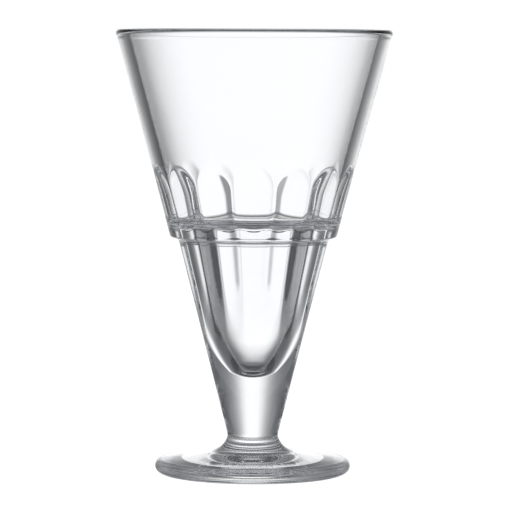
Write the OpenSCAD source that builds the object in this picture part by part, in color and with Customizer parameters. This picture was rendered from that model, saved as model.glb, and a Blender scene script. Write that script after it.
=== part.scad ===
// Parfait glass: a footed, tapered glass of thick clear glass, pressed with flat panels inside.
// Bowl, stem and foot are three gathers of glass, welded face to face on one axis.
// The origin is the middle of the foot's underside, with +Z up along the axis.

/* [Foot] */
// Diameter of the foot over its rounded edge
foot_d = 71.1; // [60:0.1:84]
// Thickness of the foot at its edge, which is a full round
foot_edge_t = 5.2; // [3:0.1:6.5]
// Height of the foot's top where the flare up to the neck begins
foot_crown_z = 7.75; // [6.8:0.05:10]
// Radius of the flare between the foot's top and the neck
flare_r = 7.6; // [4:0.1:10]
// Angle at which the flare leaves the neck, which shows as a crease at the weld
neck_crease = 16; // [4:1:30]
// Diameter of the shallow hollow under the foot
hollow_d = 50; // [30:1:52]
// Depth of that hollow at the axis
hollow_h = 1.8; // [0.5:0.1:3]

/* [Stem] */
// Diameter of the neck, where stem and foot are welded
neck_d = 18.4; // [14:0.1:24]
// Radius of the sweep from the neck into the taper
neck_sweep_r = 8; // [5:0.5:30]
// Height of the stem between its two welds
stem_h = 18; // [10:0.5:24]
// Angle of the outer taper from the axis, shared by the stem and the bowl's lower part
taper = 14.33; // [11:0.01:15]

/* [Bowl] */
// Height from the bowl's weld up to the underside of its ring
lower_h = 54.5; // [48:0.1:58]
// Height from the ring's underside up to the rim
cup_h = 75.3; // [60:0.1:95]
// Diameter of the ring at its lower edge
ring_d = 60.9; // [58.5:0.1:66]
// Height of the ring's band
ring_h = 7.6; // [5:0.1:12]
// How far the ring's band stands out from the cup's wall
ring_proud = 0.15; // [0.1:0.05:0.8]
// Rounding of the ring's lower edge
ring_edge_r = 1.2; // [0.5:0.1:2]
// Fillet under the ring
ring_fillet_r = 2.6; // [1:0.1:3]
// Angle of the cup's wall from the axis
cup_flare = 15.1; // [10:0.01:20]
// Thickness of the cup's wall, square to it
wall_t = 4.5; // [3.8:0.1:5]
// Height of the thicker band round the rim
rim_band_h = 3.4; // [2.8:0.1:6]
// How far that band stands out from the cup's wall
rim_proud = 0.15; // [0.1:0.05:0.6]
// Rounding of the rim's two edges
rim_edge_r = 1.5; // [0.8:0.1:1.7]

/* [Cavity] */
// Height of the well's mouth above the ring's underside
shelf_h = 6.2; // [5:0.1:8]
// Rise of the shelf from the well's mouth out to the wall
shelf_rise = 0.5; // [0.2:0.1:2]
// Fillet between the shelf and the cup's wall
shelf_fillet_r = 2.7; // [1.5:0.1:4]
// Rounding of the well's mouth
mouth_edge_r = 1.5; // [0.8:0.1:2.5]
// Diameter of the well at its mouth
well_d = 38.2; // [34:0.1:40]
// Angle of the well's wall from the axis
well_taper = 9.6; // [8:0.1:11]
// Height over which the well's wall curves in to its bottom
nose_h = 21; // [18:0.1:24]
// Radius of that curve
nose_side_r = 46.6; // [40:0.1:60]
// Diameter of the domed end at the well's bottom
nose_end_d = 10; // [8:0.1:12]
// Radius of the dome
nose_dome_r = 8.4; // [7:0.1:14]
// Rounding between the dome and the wall
nose_edge_r = 2; // [1:0.1:3]
// Glass between the well's bottom and the weld below it
base_t = 5; // [2:0.1:8]

/* [Panels] */
// Number of flat panels pressed round the inside
panel_n = 14; // [10:1:18]
// Height of the panels' arched tops above the ring's underside
panel_top_h = 26.6; // [22:0.1:36]
// Height over which the cup's panels run out at their arched tops
panel_runout = 9.5; // [6:0.1:13]
// Depth of the cup's panels below its round wall
panel_depth = 0.75; // [0.7:0.05:1.2]
// Depth of the well's panels below its round wall
well_panel_depth = 0.4; // [0.2:0.02:0.8]

/* [Hidden] */
$fn = 96;
arc_steps = 12;
runout_steps = 5;
cut_margin = 6;

foot_r = foot_d / 2;
foot_edge_r = foot_edge_t / 2;
hollow_r = hollow_d / 2;
hollow_curve_r = (hollow_r * hollow_r + hollow_h * hollow_h) / (2 * hollow_h);
hollow_angle = asin(hollow_r / hollow_curve_r);
neck_r = neck_d / 2;
neck_z = foot_crown_z + flare_r * (1 - sin(neck_crease));

weld_z = neck_z + stem_h;
ring_z = weld_z + lower_h;
rim_z = ring_z + cup_h;
sweep_top_z = neck_z + neck_sweep_r * sin(taper);
sweep_top_r = neck_r + neck_sweep_r * (1 - cos(taper));

ring_r = ring_d / 2;
ring_edge_z = ring_z + ring_edge_r * (1 - sin(cup_flare));
wall_across = wall_t / cos(cup_flare);
fillet_z = ring_z - ring_fillet_r;
fillet_r = taper_r(fillet_z + ring_fillet_r * sin(taper)) + ring_fillet_r * cos(taper);
edge_r = ring_r - ring_edge_r * cos(cup_flare);

rim_band_z = rim_z - rim_band_h;
rim_out = [cup_r(rim_z) + rim_proud, rim_z];
rim_in = [wall_r(rim_z), rim_z];
wall_top = [wall_r(rim_band_z), rim_band_z];

mouth_z = ring_z + shelf_h;
well_bottom_z = weld_z + base_t;
nose_z = well_bottom_z + nose_h;
nose_r = well_r(nose_z);
wall_foot = [wall_r(mouth_z + shelf_rise), mouth_z + shelf_rise];
nose_end_r = nose_end_d / 2;
dome_angle = asin(nose_end_r / nose_dome_r);
dome_middle = [0, well_bottom_z + nose_dome_r];
nose_middle = [nose_r, nose_z] - nose_side_r * [cos(well_taper), -sin(well_taper)];
nose_tilt = asin((nose_middle[1] - dome_middle[1] + nose_dome_r * cos(dome_angle)) / nose_side_r);
panel_top_z = ring_z + panel_top_h;

// Outer radius of the taper from the sweep above the neck up to the ring
function taper_r(z) = sweep_top_r + (z - sweep_top_z) * tan(taper);
// Outer radius of the cup above the ring's band
function cup_r(z) = ring_r - ring_proud + (z - ring_edge_z) * tan(cup_flare);
// Inner radius of the cup's round wall
function wall_r(z) = cup_r(z) - wall_across;
// Radius of the well's round wall
function well_r(z) = well_d / 2 + (z - mouth_z) * tan(well_taper);
// Points of an arc round a centre, both ends included
function arc(centre, r, from, to, steps = arc_steps) =
    [for (i = [0:steps]) let (a = from + (to - from) * i / steps) centre + r * [cos(a), sin(a)]];
// Points of the arc that rounds the corner b of the path a, b, c
function rounded(a, b, c, r) =
    let (u = (a - b) / norm(a - b), v = (c - b) / norm(c - b))
    let (half = acos(u * v) / 2, middle = b + (u + v) / norm(u + v) * r / sin(half))
    let (p = b + u * r / tan(half) - middle, q = b + v * r / tan(half) - middle)
    let (from = atan2(p[1], p[0]), turn = atan2(q[1], q[0]) - from)
    arc(middle, r, from, from + (turn > 180 ? turn - 360 : turn < -180 ? turn + 360 : turn));

// Solid outside of the bowl, from its weld up to the rim
module bowl_outside() {
    band_top_z = ring_z + ring_h;
    rim_band = [cup_r(rim_band_z + rim_proud) + rim_proud, rim_band_z + rim_proud];
    inner_edge = rounded(rim_out, rim_in, wall_top, rim_edge_r);
    rotate_extrude() polygon(concat(
        [[0, weld_z], [taper_r(weld_z), weld_z]],
        arc([fillet_r, fillet_z], ring_fillet_r, 180 - taper, 90),
        arc([edge_r, ring_z + ring_edge_r], ring_edge_r, -90, -cup_flare),
        [[cup_r(band_top_z) + ring_proud, band_top_z]],
        [[cup_r(band_top_z + ring_proud), band_top_z + ring_proud]],
        [[cup_r(rim_band_z), rim_band_z], rim_band],
        rounded(rim_band, rim_out, rim_in, rim_edge_r),
        inner_edge,
        [[0, inner_edge[arc_steps][1]]]
    ));
}

// Round form of the cavity: cup, shelf, and well with its curved side and domed end
module cavity_round() {
    mouth = [well_r(mouth_z), mouth_z];
    side = arc(nose_middle, nose_side_r, -well_taper, -nose_tilt);
    dome = arc(dome_middle, nose_dome_r, dome_angle - 90, -90);
    rotate_extrude() polygon(concat(
        [[0, rim_z], rim_in],
        rounded(rim_in, wall_foot, mouth, shelf_fillet_r),
        rounded(wall_foot, mouth, side[0], mouth_edge_r),
        [for (i = [0:arc_steps - 1]) side[i]],
        rounded(side[arc_steps - 1], dome[0], dome[1], nose_edge_r),
        [for (i = [2:arc_steps]) dome[i]]
    ));
}

// Ring of blocks, each with its inner faces along one panel, drawn as a profile of radius and height
module panel_blocks(profile) {
    block_w = 2 * max([for (p = profile) p[0]]) * tan(180 / panel_n);
    for (i = [0:panel_n - 1])
        rotate(360 * i / panel_n - 90)
            rotate([90, 0, 0])
                linear_extrude(block_w, center = true) polygon(profile);
}

// Cavity with its flat panels, as the plunger leaves it
module cavity() {
    runout = [for (i = [0:runout_steps]) let (s = i / runout_steps, z = panel_top_z - panel_runout * (1 - s))
        [wall_r(z) - panel_depth * (1 - s * s), z]];
    panel_back = wall_r(panel_top_z) + cut_margin;
    well_panel_z = mouth_z - mouth_edge_r;
    difference() {
        cavity_round();
        panel_blocks(concat(
            [[panel_back, panel_top_z], [panel_back, mouth_z]],
            [[wall_r(mouth_z) - panel_depth, mouth_z]],
            runout
        ));
        panel_blocks([
            [well_r(well_bottom_z) - well_panel_depth, well_bottom_z],
            [well_r(well_panel_z) - well_panel_depth, well_panel_z],
            [well_r(well_panel_z) + cut_margin, well_panel_z],
            [well_r(well_panel_z) + cut_margin, well_bottom_z],
        ]);
    }
}

// Bowl: flared cup, ring, and tapered lower part round a deep well
module bowl() {
    color("lightcyan", 0.4)
        difference() {
            bowl_outside();
            cavity();
        }
}

// Stem: solid taper between the two welds, swept in at the neck
module stem() {
    color("lightcyan", 0.4)
        rotate_extrude() polygon(concat(
            [[0, weld_z], [0, neck_z]],
            arc([neck_r + neck_sweep_r, neck_z], neck_sweep_r, 180, 180 - taper),
            [[taper_r(weld_z), weld_z]]
        ));
}

// Foot: disc with a round edge, flared up to the neck and hollowed a little underneath
module foot() {
    crown_r = neck_r + flare_r * cos(neck_crease);
    edge_middle = [foot_r - foot_edge_r, foot_edge_r];
    color("lightcyan", 0.4)
        rotate_extrude() polygon(concat(
            arc([0, hollow_h - hollow_curve_r], hollow_curve_r, 90, 90 - hollow_angle),
            arc(edge_middle, foot_edge_r, -90, 90),
            arc([crown_r, foot_crown_z + flare_r], flare_r, 270, 180 + neck_crease),
            [[0, neck_z]]
        ));
}

bowl();
stem();
foot();
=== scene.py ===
from math import acos, asin, atan, atan2, cos, hypot, pi, radians, sin, sqrt, tan

import bmesh
import bpy
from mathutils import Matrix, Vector


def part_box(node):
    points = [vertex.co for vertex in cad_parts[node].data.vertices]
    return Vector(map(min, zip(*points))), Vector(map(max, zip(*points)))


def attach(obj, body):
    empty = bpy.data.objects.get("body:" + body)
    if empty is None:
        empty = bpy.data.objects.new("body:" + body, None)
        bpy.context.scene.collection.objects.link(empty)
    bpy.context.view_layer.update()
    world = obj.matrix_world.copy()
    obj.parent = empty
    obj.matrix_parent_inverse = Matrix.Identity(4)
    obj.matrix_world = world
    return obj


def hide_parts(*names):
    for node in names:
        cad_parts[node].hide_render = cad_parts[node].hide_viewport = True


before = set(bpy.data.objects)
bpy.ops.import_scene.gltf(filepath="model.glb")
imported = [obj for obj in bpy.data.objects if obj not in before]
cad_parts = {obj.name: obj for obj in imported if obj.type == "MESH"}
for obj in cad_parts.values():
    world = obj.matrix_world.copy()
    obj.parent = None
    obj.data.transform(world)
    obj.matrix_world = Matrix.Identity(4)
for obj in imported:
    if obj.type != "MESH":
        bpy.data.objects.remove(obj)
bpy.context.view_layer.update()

# Foot: a round disc of thick clear glass with a full-round edge and a shallow hollow underneath.
# It is pressed hot and flared up to a narrow neck. The stem is welded on there,
# and the weld shows as a crisp crease round the neck.
MM = 0.001
panel_count = 14
spin_steps = 22 * panel_count
hold = 0.2 * MM
merge_gap = 0.0005 * MM
weld_gap = 0.001 * MM
flat_enough = 0.999
crease_angle = radians(60)
foot_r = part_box("foot")[1].x
neck_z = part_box("foot")[1].z
neck_r = 9.2 * MM
foot_edge_r = 2.6 * MM
crown_z = 7.75 * MM
flare_r = 7.6 * MM
neck_crease = radians(16)
hollow_r = 25 * MM
hollow_h = 1.8 * MM
glass_ior = 1.52
deep_tint = (0.972, 0.982, 0.986, 1)
pale_tint = (0.984, 0.992, 0.996, 1)
ripple_depth = 0.02 * MM
cord_share = 0.35
cord_stretch = (160, 160, 9)
wiped_roughness = 0.012


def arc(centre, radius, start, end, steps):
    """Points of an arc in the half plane of (radius, height), both ends included."""
    turns = [start + (end - start) * i / steps for i in range(steps + 1)]
    return [(centre[0] + radius * cos(a), centre[1] + radius * sin(a)) for a in turns]


def along(start, end, share):
    """The point at that share of the way from one point to another."""
    return (start[0] + (end[0] - start[0]) * share, start[1] + (end[1] - start[1]) * share)


def held(outline):
    """The outline with a point added near both ends of each long stretch, to keep its shading straight."""
    kept = outline[:1]
    for start, end in zip(outline, outline[1:]):
        length = hypot(end[0] - start[0], end[1] - start[1])
        if length > 4 * hold:
            kept += [along(start, end, hold / length), along(start, end, 1 - hold / length)]
        kept.append(end)
    return kept


def spun(outline):
    """A closed bmesh spun about Z from a half outline that starts and ends on the axis."""
    mesh = bmesh.new()
    points = [mesh.verts.new((r, 0, z)) for r, z in held(outline)]
    lines = [mesh.edges.new(pair) for pair in zip(points, points[1:])]
    bmesh.ops.spin(
        mesh, geom=points + lines, cent=(0, 0, 0), axis=(0, 0, 1),
        angle=2 * pi, steps=spin_steps, use_merge=True,
    )
    bmesh.ops.remove_doubles(mesh, verts=mesh.verts, dist=merge_gap)
    bmesh.ops.recalc_face_normals(mesh, faces=mesh.faces)
    return mesh


class Value:
    """A shader socket that Python's operators can do sums with, each adding a Math node."""

    def __init__(self, tree, socket=None):
        self.tree = tree
        self.socket = socket

    def fill(self, node, inputs):
        """Sets or links a node's sockets, each given by its name or its number."""
        for key, given in inputs.items():
            socket = node.inputs[key]
            if isinstance(given, Value):
                self.tree.links.new(given.socket, socket)
            else:
                socket.default_value = given

    def node(self, kind, inputs, **settings):
        """A new node of that kind, with its settings made first and then its sockets filled."""
        made = self.tree.nodes.new(kind)
        for key, setting in settings.items():
            if key == "stops":
                ramp = made.color_ramp
                while len(ramp.elements) < len(setting):
                    ramp.elements.new(1)
                for element, (place, level) in zip(ramp.elements, setting):
                    element.position = place
                    element.color = (level, level, level, 1)
            else:
                setattr(made, key, setting)
        self.fill(made, inputs)
        return made

    def output(self, kind, inputs, name=0, **settings):
        """The named output of a new node, or its first one."""
        return Value(self.tree, self.node(kind, inputs, **settings).outputs[name])

    def sum(self, operation, *terms):
        """The outcome of a Math node."""
        return self.output("ShaderNodeMath", dict(enumerate(terms)), operation=operation)

    def __add__(self, other):
        return self.sum("ADD", self, other)

    def __radd__(self, other):
        return self.sum("ADD", other, self)

    def __sub__(self, other):
        return self.sum("SUBTRACT", self, other)

    def __rsub__(self, other):
        return self.sum("SUBTRACT", other, self)

    def __mul__(self, other):
        return self.sum("MULTIPLY", self, other)

    def __rmul__(self, other):
        return self.sum("MULTIPLY", other, self)

    def __truediv__(self, other):
        return self.sum("DIVIDE", self, other)

    def __rtruediv__(self, other):
        return self.sum("DIVIDE", other, self)

    def __abs__(self):
        return self.sum("ABSOLUTE", self)

    def noise(self, scale, detail):
        """Cloudy noise at the place that this value gives."""
        inputs = {"Vector": self, "Scale": scale, "Detail": detail}
        return self.output("ShaderNodeTexNoise", inputs, "Fac")

    def stretched(self, scale):
        """The place that this value gives, with each axis scaled by itself."""
        return self.output("ShaderNodeMapping", {"Vector": self, "Scale": scale})

    def between(self, low, high, out_low=0, out_high=1, interpolation="SMOOTHSTEP"):
        """This value carried from one range over to another, and held at its ends."""
        inputs = {"Value": self, "From Min": low, "From Max": high, "To Min": out_low, "To Max": out_high}
        return self.output("ShaderNodeMapRange", inputs, interpolation_type=interpolation)

    def ramp(self, stops):
        """The level between the stops on either side of this value."""
        return self.output("ShaderNodeValToRGB", {"Fac": self}, stops=stops)


def clear_glass():
    """Pressed soda-lime glass, fire-polished: clear, a little uneven, with faint drawn cords in it."""
    material = bpy.data.materials.new("clear_glass")
    material.use_nodes = True
    maths = Value(material.node_tree)
    place = maths.output("ShaderNodeTexCoord", {}, "Object")
    ripple = place.noise(scale=70, detail=1)
    cords = place.stretched(cord_stretch).noise(scale=1, detail=2)
    wiped = place.noise(scale=38, detail=4)
    uneven = {"Strength": 1, "Distance": ripple_depth, "Height": ripple + cord_share * cords}
    tints = {"Factor": cords, "A": deep_tint, "B": pale_tint}
    maths.fill(material.node_tree.nodes["Principled BSDF"], {
        "Base Color": maths.output("ShaderNodeMix", tints, "Result", data_type="RGBA"),
        "Roughness": wiped.between(0.5, 0.9, 0, wiped_roughness),
        "Normal": maths.output("ShaderNodeBump", uneven),
        "Transmission Weight": 1,
        "IOR": glass_ior,
    })
    return material


def fused_weld():
    """The face where two gathers of glass have melted into one: nothing shows there."""
    material = bpy.data.materials.new("fused_weld")
    material.use_nodes = True
    nodes = material.node_tree.nodes
    nodes.remove(nodes["Principled BSDF"])
    maths = Value(material.node_tree)
    maths.fill(nodes["Material Output"], {"Surface": maths.output("ShaderNodeBsdfTransparent", {})})
    return material


glass = clear_glass()
weld = fused_weld()


def glass_piece(name, mesh, node, weld_heights):
    """Finishes a spun mesh as the piece that stands for a node, with its weld faces made clear."""
    for face in mesh.faces:
        face.smooth = True
        height = face.calc_center_median().z
        if abs(face.normal.z) > flat_enough and any(abs(height - z) < weld_gap for z in weld_heights):
            face.material_index = 1
    data = bpy.data.meshes.new(name)
    mesh.to_mesh(data)
    mesh.free()
    data.set_sharp_from_angle(angle=crease_angle)
    data.materials.append(glass)
    data.materials.append(weld)
    piece = bpy.data.objects.new(name, data)
    bpy.context.scene.collection.objects.link(piece)
    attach(piece, "root")
    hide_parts(node)


hollow_curve = (hollow_r**2 + hollow_h**2) / (2 * hollow_h)
hollow_turn = asin(hollow_r / hollow_curve)
crown_r = neck_r + flare_r * cos(neck_crease)
foot_outline = (
    arc((0, hollow_h - hollow_curve), hollow_curve, pi / 2, pi / 2 - hollow_turn, 16)
    + arc((foot_r - foot_edge_r, foot_edge_r), foot_edge_r, -pi / 2, pi / 2, 28)
    + arc((crown_r, crown_z + flare_r), flare_r, 1.5 * pi, pi + neck_crease, 24)
    + [(0, neck_z)]
)
foot_outline[0] = (0, hollow_h)
glass_piece("foot_glass", spun(foot_outline), "foot", [neck_z])

# Stem: a short solid taper of the same clear glass, drawn down from under the bowl.
# It sweeps in at the neck, where it is welded to the foot.
weld_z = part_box("stem")[1].z
taper = radians(14.33)
neck_sweep_r = 8 * MM
sweep_top_z = neck_z + neck_sweep_r * sin(taper)
sweep_top_r = neck_r + neck_sweep_r * (1 - cos(taper))


def taper_r(z):
    """Outer radius of the taper that the stem and the bowl's lower part share."""
    return sweep_top_r + (z - sweep_top_z) * tan(taper)


stem_outline = (
    [(0, neck_z)]
    + arc((neck_r + neck_sweep_r, neck_z), neck_sweep_r, pi, pi - taper, 10)
    + [(taper_r(weld_z), weld_z), (0, weld_z)]
)
glass_piece("stem_glass", spun(stem_outline), "stem", [neck_z, weld_z])

# Bowl: a flared cup over a tapered lower part, pressed in one from a gather of clear glass.
# A ring stands out at its waist. Inside, a narrow shelf lies round the mouth of a deep well,
# and the plunger has left rounded panels with arched tops in the cup and down the well.
rim_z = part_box("bowl")[1].z
lower_h = 54.5 * MM
ring_r = 30.45 * MM
ring_h = 7.6 * MM
ring_proud = 0.15 * MM
ring_edge_r = 1.2 * MM
ring_fillet_r = 2.6 * MM
cup_flare = radians(15.1)
wall_t = 4.5 * MM
rim_band_h = 3.4 * MM
rim_proud = 0.15 * MM
rim_edge_r = 1.5 * MM
shelf_h = 6.2 * MM
shelf_rise = 0.5 * MM
shelf_fillet_r = 2.7 * MM
mouth_edge_r = 1.5 * MM
well_mouth_r = 19.1 * MM
well_taper = radians(9.6)
base_t = 5 * MM
nose_h = 21 * MM
nose_side_r = 46.6 * MM
nose_end_r = 5 * MM
nose_dome_r = 8.4 * MM
nose_edge_r = 2 * MM
panel_top_h = 26.6 * MM
panel_runout = 9.5 * MM
panel_depth = 1.3 * MM
panel_curve_r = 38 * MM
plain_wall_h = 3 * MM
arch_softness = 0.35 * MM
valley_softness = 0.8 * MM
well_panel_depth = 0.62 * MM
well_curve_r = 22 * MM
well_softness = 0.5 * MM
well_runout_low = 13 * MM
well_runout_h = 22 * MM
near = 0.01 * MM

ring_z = weld_z + lower_h
ring_edge_z = ring_z + ring_edge_r * (1 - sin(cup_flare))
wall_across = wall_t / cos(cup_flare)
mouth_z = ring_z + shelf_h
panel_top_z = ring_z + panel_top_h
well_bottom_z = weld_z + base_t
well_runout_z = well_bottom_z + well_runout_low


def cup_r(z):
    """Outer radius of the cup above the ring."""
    return ring_r - ring_proud + (z - ring_edge_z) * tan(cup_flare)


def wall_r(z):
    """Inner radius of the cup's round wall."""
    return cup_r(z) - wall_across


def well_r(z):
    """Radius of the well's round wall."""
    return well_mouth_r + (z - mouth_z) * tan(well_taper)


def rounded(before, corner, after, radius, steps):
    """Points of the arc that rounds the corner of a path in the half plane."""
    corner = Vector(corner)
    to_before = (Vector(before) - corner).normalized()
    to_after = (Vector(after) - corner).normalized()
    half = acos(to_before.dot(to_after)) / 2
    centre = corner + (to_before + to_after).normalized() * radius / sin(half)
    first = corner + to_before * radius / tan(half) - centre
    last = corner + to_after * radius / tan(half) - centre
    start = atan2(first.y, first.x)
    turn = (atan2(last.y, last.x) - start + pi) % (2 * pi) - pi
    return arc(centre, radius, start, start + turn, steps)


def line(start, end, steps):
    """Points along a straight stretch, without its ends."""
    return [along(start, end, i / steps) for i in range(1, steps)]


def soft_min(a, b, softness):
    """The smaller of two radii, with the crossing rounded over the given softness."""
    share = min(1, max(0, 0.5 + 0.5 * (b - a) / softness))
    return b + (a - b) * share - softness * share * (1 - share)


def rod_r(nearest, curve_r, angle):
    """Radius at which a line from the axis meets a rounded panel, at an angle from its middle."""
    centre = nearest + curve_r
    return centre * cos(angle) - sqrt(curve_r**2 - (centre * sin(angle)) ** 2)


def panel_r(nearest, curve_r, angle, softness):
    """Radius of a ring of rounded panels at an angle from the middle of the nearest one."""
    next_angle = 2 * pi / panel_count - angle
    return soft_min(rod_r(nearest, curve_r, angle), rod_r(nearest, curve_r, next_angle), softness)


fillet_z = ring_z - ring_fillet_r
fillet_r = taper_r(fillet_z + ring_fillet_r * sin(taper)) + ring_fillet_r * cos(taper)
ring_edge_middle = (ring_r - ring_edge_r * cos(cup_flare), ring_z + ring_edge_r)
band_top_z = ring_z + ring_h
rim_band_z = rim_z - rim_band_h
rim_foot = (cup_r(rim_band_z), rim_band_z)
rim_band = (cup_r(rim_band_z + rim_proud) + rim_proud, rim_band_z + rim_proud)
rim_out = (cup_r(rim_z) + rim_proud, rim_z)
rim_in = (wall_r(rim_z), rim_z)
plain_wall_z = panel_top_z + plain_wall_h
plain_wall = (wall_r(plain_wall_z), plain_wall_z)
wall_foot = (wall_r(mouth_z + shelf_rise), mouth_z + shelf_rise)
mouth = (well_mouth_r, mouth_z)
nose_z = well_bottom_z + nose_h
nose_r = well_r(nose_z)
nose_middle = (nose_r - nose_side_r * cos(well_taper), nose_z + nose_side_r * sin(well_taper))
dome_turn = asin(nose_end_r / nose_dome_r)
dome_z = well_bottom_z + nose_dome_r * (1 - cos(dome_turn))
nose_tilt = asin((nose_middle[1] - dome_z) / nose_side_r)
nose_side = arc(nose_middle, nose_side_r, -well_taper, -nose_tilt, 40)
dome = arc((0, well_bottom_z + nose_dome_r), nose_dome_r, dome_turn - pi / 2, -pi / 2, 12)
nose_corner = rounded(nose_side[-2], dome[0], dome[1], nose_edge_r, 8)
nose = [point for point in nose_side if point[1] > nose_corner[0][1] + hold]
nose += nose_corner + [point for point in dome if point[0] < nose_corner[-1][0] - hold]
nose[-1] = (0, well_bottom_z)
shelf_corner = rounded(rim_in, wall_foot, mouth, shelf_fillet_r, 16)
mouth_corner = rounded(wall_foot, mouth, nose[0], mouth_edge_r, 12)
bowl_outline = (
    [(0, weld_z), (taper_r(weld_z), weld_z)]
    + arc((fillet_r, fillet_z), ring_fillet_r, pi - taper, pi / 2, 12)
    + arc(ring_edge_middle, ring_edge_r, -pi / 2, -cup_flare, 10)
    + [(cup_r(band_top_z) + ring_proud, band_top_z)]
    + [(cup_r(band_top_z + ring_proud), band_top_z + ring_proud)]
    + [rim_foot, rim_band]
    + rounded(rim_band, rim_out, rim_in, rim_edge_r, 20)
    + rounded(rim_out, rim_in, plain_wall, rim_edge_r, 20)
    + [plain_wall]
    + line(plain_wall, shelf_corner[0], 48)
    + shelf_corner
    + line(shelf_corner[-1], mouth_corner[0], 14)
    + mouth_corner
    + line(mouth_corner[-1], nose[0], 24)
    + nose
)


def press_panels(mesh):
    """Moves the round wall of the cavity in to the rounded panels that the plunger leaves."""
    pitch = 2 * pi / panel_count
    shelf_in_r = mouth_corner[0][0]
    shelf_out_r = shelf_corner[-1][0]
    for vert in mesh.verts:
        r = hypot(vert.co.x, vert.co.y)
        z = vert.co.z
        if r < near or z > plain_wall_z:
            continue
        angle = atan2(vert.co.x, -vert.co.y) % pitch
        angle = min(angle, pitch - angle)
        if z > mouth_z - near and r < cup_r(z) - wall_across / 2:
            depth = panel_depth * (1 - max(0, 1 - (panel_top_z - z) / panel_runout) ** 2)
            wall = wall_r(z)
            panel = panel_r(wall - depth, panel_curve_r, angle, valley_softness)
            share = min(1, max(0, (r - shelf_in_r) / (shelf_out_r - shelf_in_r)))
            pressed = r + (soft_min(wall, panel, arch_softness) - wall) * share
        elif z > well_bottom_z and r < well_r(z) + 2 * mouth_edge_r:
            wall = min(r, well_r(z))
            panel = panel_r(well_r(z) - well_panel_depth, well_curve_r, angle, well_softness)
            below_mouth = max(0, (mouth_z - z) / mouth_edge_r)
            above_bottom = max(0, (z - well_runout_z) / well_runout_h)
            share = min(1, below_mouth, above_bottom)
            pressed = r + (soft_min(wall, panel, well_softness) - wall) * share
        else:
            continue
        vert.co.x *= pressed / r
        vert.co.y *= pressed / r


bowl_mesh = spun(bowl_outline)
press_panels(bowl_mesh)
glass_piece("bowl_glass", bowl_mesh, "bowl", [weld_z])

# Floor: a large plain sheet of pale material under the glass, which is not part of it.
# It glows, so that it stays about as white as the paper behind, and it is not seen through the glass.
floor_size = 12
white = (1, 1, 1, 1)
floor_mesh = bmesh.new()
bmesh.ops.create_grid(floor_mesh, x_segments=2, y_segments=2, size=floor_size / 2)
floor_data = bpy.data.meshes.new("floor")
floor_mesh.to_mesh(floor_data)
floor_mesh.free()
floor = bpy.data.objects.new("floor", floor_data)
bpy.context.scene.collection.objects.link(floor)
floor_paint = bpy.data.materials.new("pale_floor")
floor_paint.use_nodes = True
Value(floor_paint.node_tree).fill(floor_paint.node_tree.nodes["Principled BSDF"], {
    "Base Color": (0.5, 0.5, 0.5, 1),
    "Roughness": 0.9,
    "Specular IOR Level": 0,
    "Emission Color": white,
    "Emission Strength": 0.96,
})
floor_data.materials.append(floor_paint)
floor.visible_transmission = False
floor.visible_glossy = False

# Light: a bright soft box stands behind the glass in a dim room, over a pale table. It draws the
# glass's edges dark against white, as glassware is lit in a studio. Wide soft lamps in front
# light the other sides. Bearings are degrees round from straight behind, heights degrees from level.
cool_white = (0.94, 0.97, 1.03, 1)
softbox_strength = 1.16
softbox_heights = (-8, 10)
softbox_bearings = (3, 0.5)
table_fade = (60, 110)
lamp_fade = (65, 105)
light_bounces = 32
softbox_stops = [
    (0, 1), (6, 0.98), (9, 0.9), (12, 0.77), (15, 0.6),
    (18, 0.45), (22, 0.31), (28, 0.18), (38, 0.08), (52, 0),
]
rise_stops = [
    (-60, 0), (-42, 0.06), (-34, 0.16), (-27, 0.4), (-21, 0.78), (-14, 1),
    (-5, 0.93), (9, 0.86), (12, 0.7), (16, 0.36), (22, 0.06), (28, 0),
]
room_stops = [
    (-90, 0.03), (-35, 0.015), (-21, 0.03), (-12, 0.06), (-4, 0.105), (6, 0.115), (14, 0.13),
    (26, 0.145), (36, 0.135), (48, 0.09), (60, 0.04), (72, 0.01), (90, 0),
]
table_stops = [(-80, 0), (-60, 0.06), (-42, 0.13), (-30, 0.11), (-21, 0.04), (-12, 0)]
lamp_stops = [(-32, 0), (-16, 0.36), (5, 0.45), (40, 0.55), (60, 0.3), (75, 0)]

world = bpy.data.worlds.new("studio")
world.use_nodes = True
bpy.context.scene.world = world
world.node_tree.nodes.clear()
light = Value(world.node_tree)
way = light.output("ShaderNodeTexCoord", {}, "Generated")
split_way = light.node("ShaderNodeSeparateXYZ", {"Vector": way})
sideways, away, upwards = [Value(world.node_tree, socket) for socket in split_way.outputs]
bearing = light.sum("ARCTAN2", sideways, away) * (180 / pi)
height = light.sum("ARCSINE", upwards) * (180 / pi)


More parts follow.
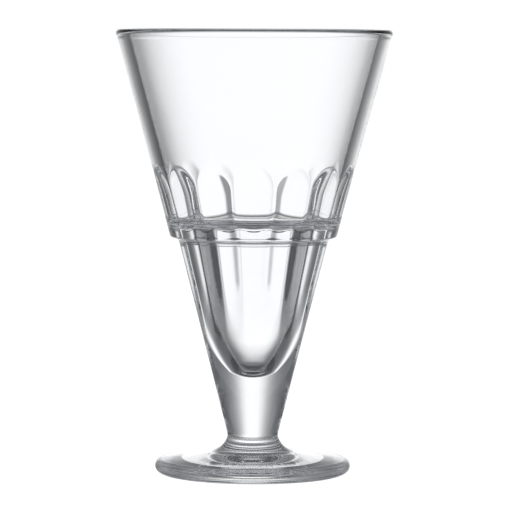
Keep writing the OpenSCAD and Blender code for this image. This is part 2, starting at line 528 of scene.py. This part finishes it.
def by_height(stops):
    """Brightness that changes with the height, from pairs of a height in degrees and a level."""
    return (height / 180 + 0.5).ramp([(place / 180 + 0.5, level) for place, level in stops])


softbox_bearing = height.between(*softbox_heights, *softbox_bearings, "LINEAR")
off_softbox = abs(bearing - softbox_bearing) / 180
softbox = off_softbox.ramp([(place / 180, level) for place, level in softbox_stops]) * by_height(rise_stops)
table = by_height(table_stops) * abs(bearing).between(*table_fade, 1, 0)
lamps = by_height(lamp_stops) * abs(bearing).between(*lamp_fade)
back_light = {"Color": white, "Strength": softbox_strength * softbox}
room_light = {"Color": cool_white, "Strength": by_height(room_stops) + table + lamps}
studio = light.output("ShaderNodeAddShader", {
    0: light.output("ShaderNodeBackground", back_light),
    1: light.output("ShaderNodeBackground", room_light),
})
paper = light.output("ShaderNodeBackground", {"Color": white, "Strength": 1})
seen = light.output("ShaderNodeLightPath", {}, "Is Camera Ray")
surroundings = light.output("ShaderNodeMixShader", {0: seen, 1: studio, 2: paper})
light.node("ShaderNodeOutputWorld", {"Surface": surroundings})
bpy.context.scene.cycles.max_bounces = light_bounces
bpy.context.scene.cycles.transmission_bounces = light_bounces
bpy.context.scene.cycles.glossy_bounces = light_bounces
bpy.context.scene.view_settings.view_transform = "Standard"

# Camera: level with the rim and a long way off, as the photograph was taken.
# It is rolled a little, because the glass leans in the photograph.
picture_px = 509
mm_per_px = 0.3628
middle_z = 79.45 * MM
camera_away = 1.23
camera_rise = radians(0.2)
camera_roll = radians(-0.25)
camera_z = rim_z + camera_away * tan(camera_rise)
camera_tilt = atan((camera_z - middle_z) / camera_away)
lens = bpy.data.cameras.new("camera")
lens.sensor_width = 36
lens.lens = lens.sensor_width * hypot(camera_away, camera_z - middle_z) / (picture_px * mm_per_px * MM)
lens.clip_start = 0.01
camera = bpy.data.objects.new("camera", lens)
camera.location = (0, -camera_away, camera_z)
camera.rotation_euler = (pi / 2 - camera_tilt, camera_roll, 0)
bpy.context.scene.collection.objects.link(camera)
bpy.context.scene.camera = camera
